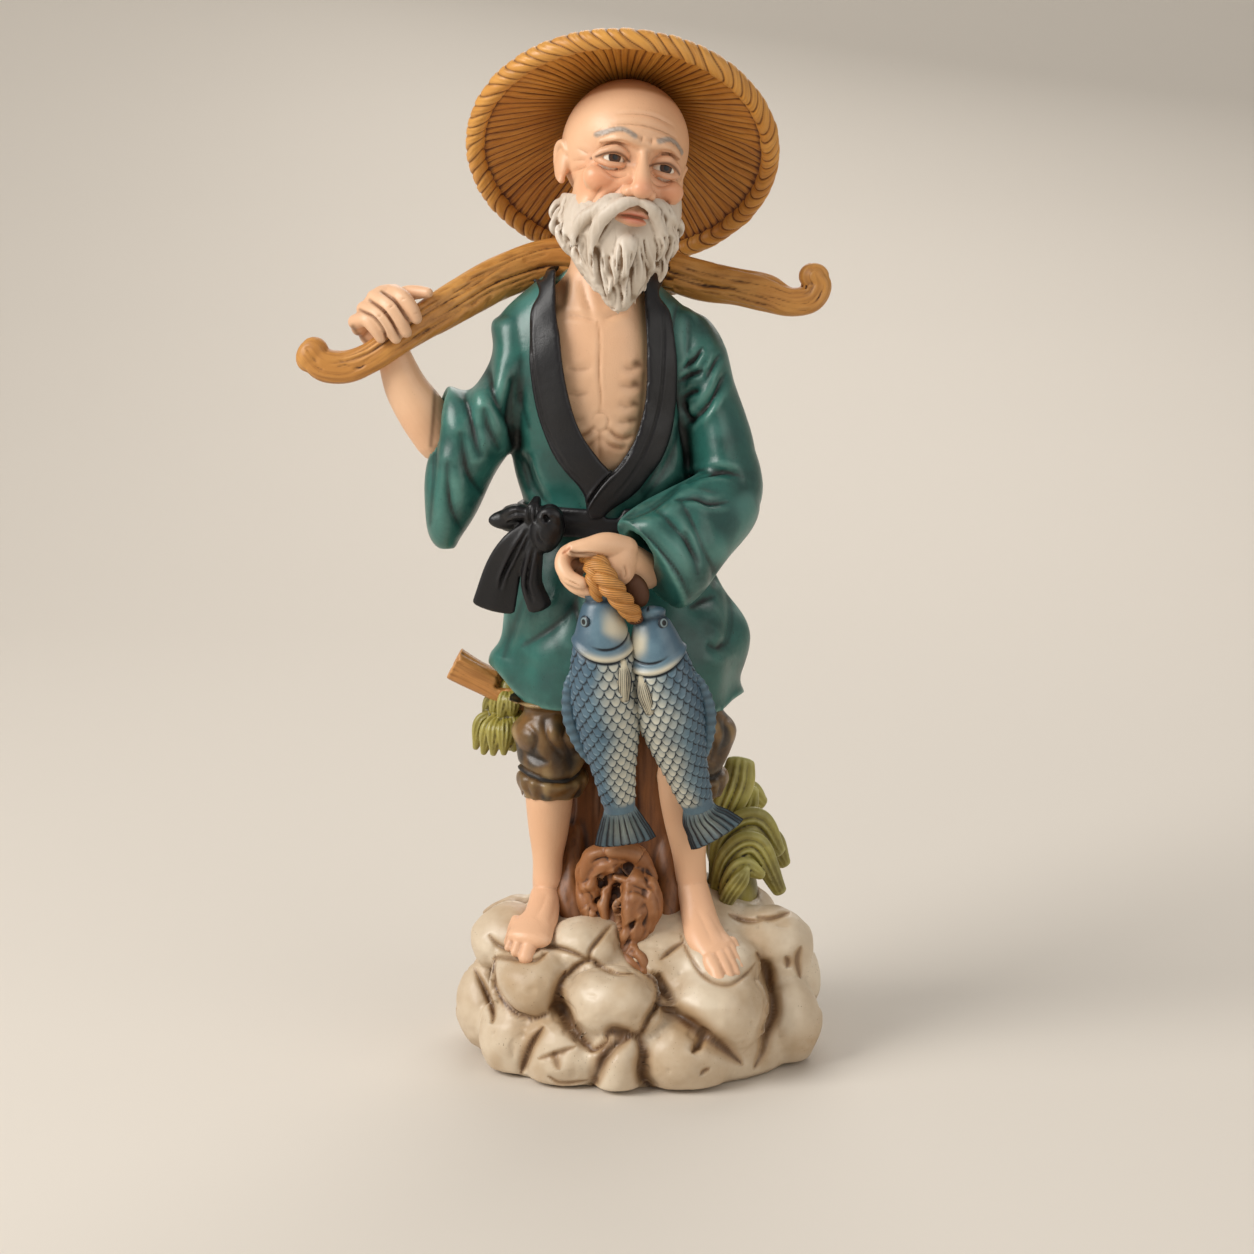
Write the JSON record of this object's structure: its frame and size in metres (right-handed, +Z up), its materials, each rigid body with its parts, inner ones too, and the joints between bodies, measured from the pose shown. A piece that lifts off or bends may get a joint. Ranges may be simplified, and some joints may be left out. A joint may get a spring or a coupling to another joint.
{
  "type": "okimono carving",
  "caption": "Ornamental figurine of an old fisherman in a straw hat with a shoulder yoke and hanging carp, standing on rocks by a tree stump.",
  "frame": {"origin": "middle of the flat underside of the rock base, on the surface it stands on", "axes": "+Z up through the figure; -Y the front, where the figure faces; +X the figure's left"},
  "size_m": [0.1536, 0.0965, 0.3005],
  "materials": {
    "rock": "matte",
    "stump": "satin",
    "root_wood": "matte",
    "branch": "matte",
    "leaves": "satin",
    "skin": "matte",
    "robe": "satin",
    "black_band": "matte",
    "yoke_wood": "matte",
    "beard": "matte",
    "straw": "matte",
    "rope": "matte",
    "fish": "matte",
    "breeches": "gloss"
  },
  "bodies": {
    "root": {"rock_base": "rock", "tree_stump": "stump", "stump_root": "root_wood", "side_branch": "branch", "leaf_bunch": "leaves", "leaf_clump": "leaves", "chest_and_neck": "skin", "robe": "robe", "collar_band": "black_band", "sash": "black_band", "sash_bow": "black_band", "yoke": "yoke_wood", "right_arm": "skin", "right_sleeve": "robe", "left_sleeve": "robe", "left_hand": "skin", "head": "skin", "beard": "beard", "straw_hat": "straw", "hat_binding": "straw", "hat_seat": "straw", "straw_rope": "rope", "right_carp": "fish", "left_carp": "fish", "right_leg": "skin", "left_leg": "skin", "right_breeches": "breeches", "left_breeches": "breeches"}
  },
  "joints": []
}
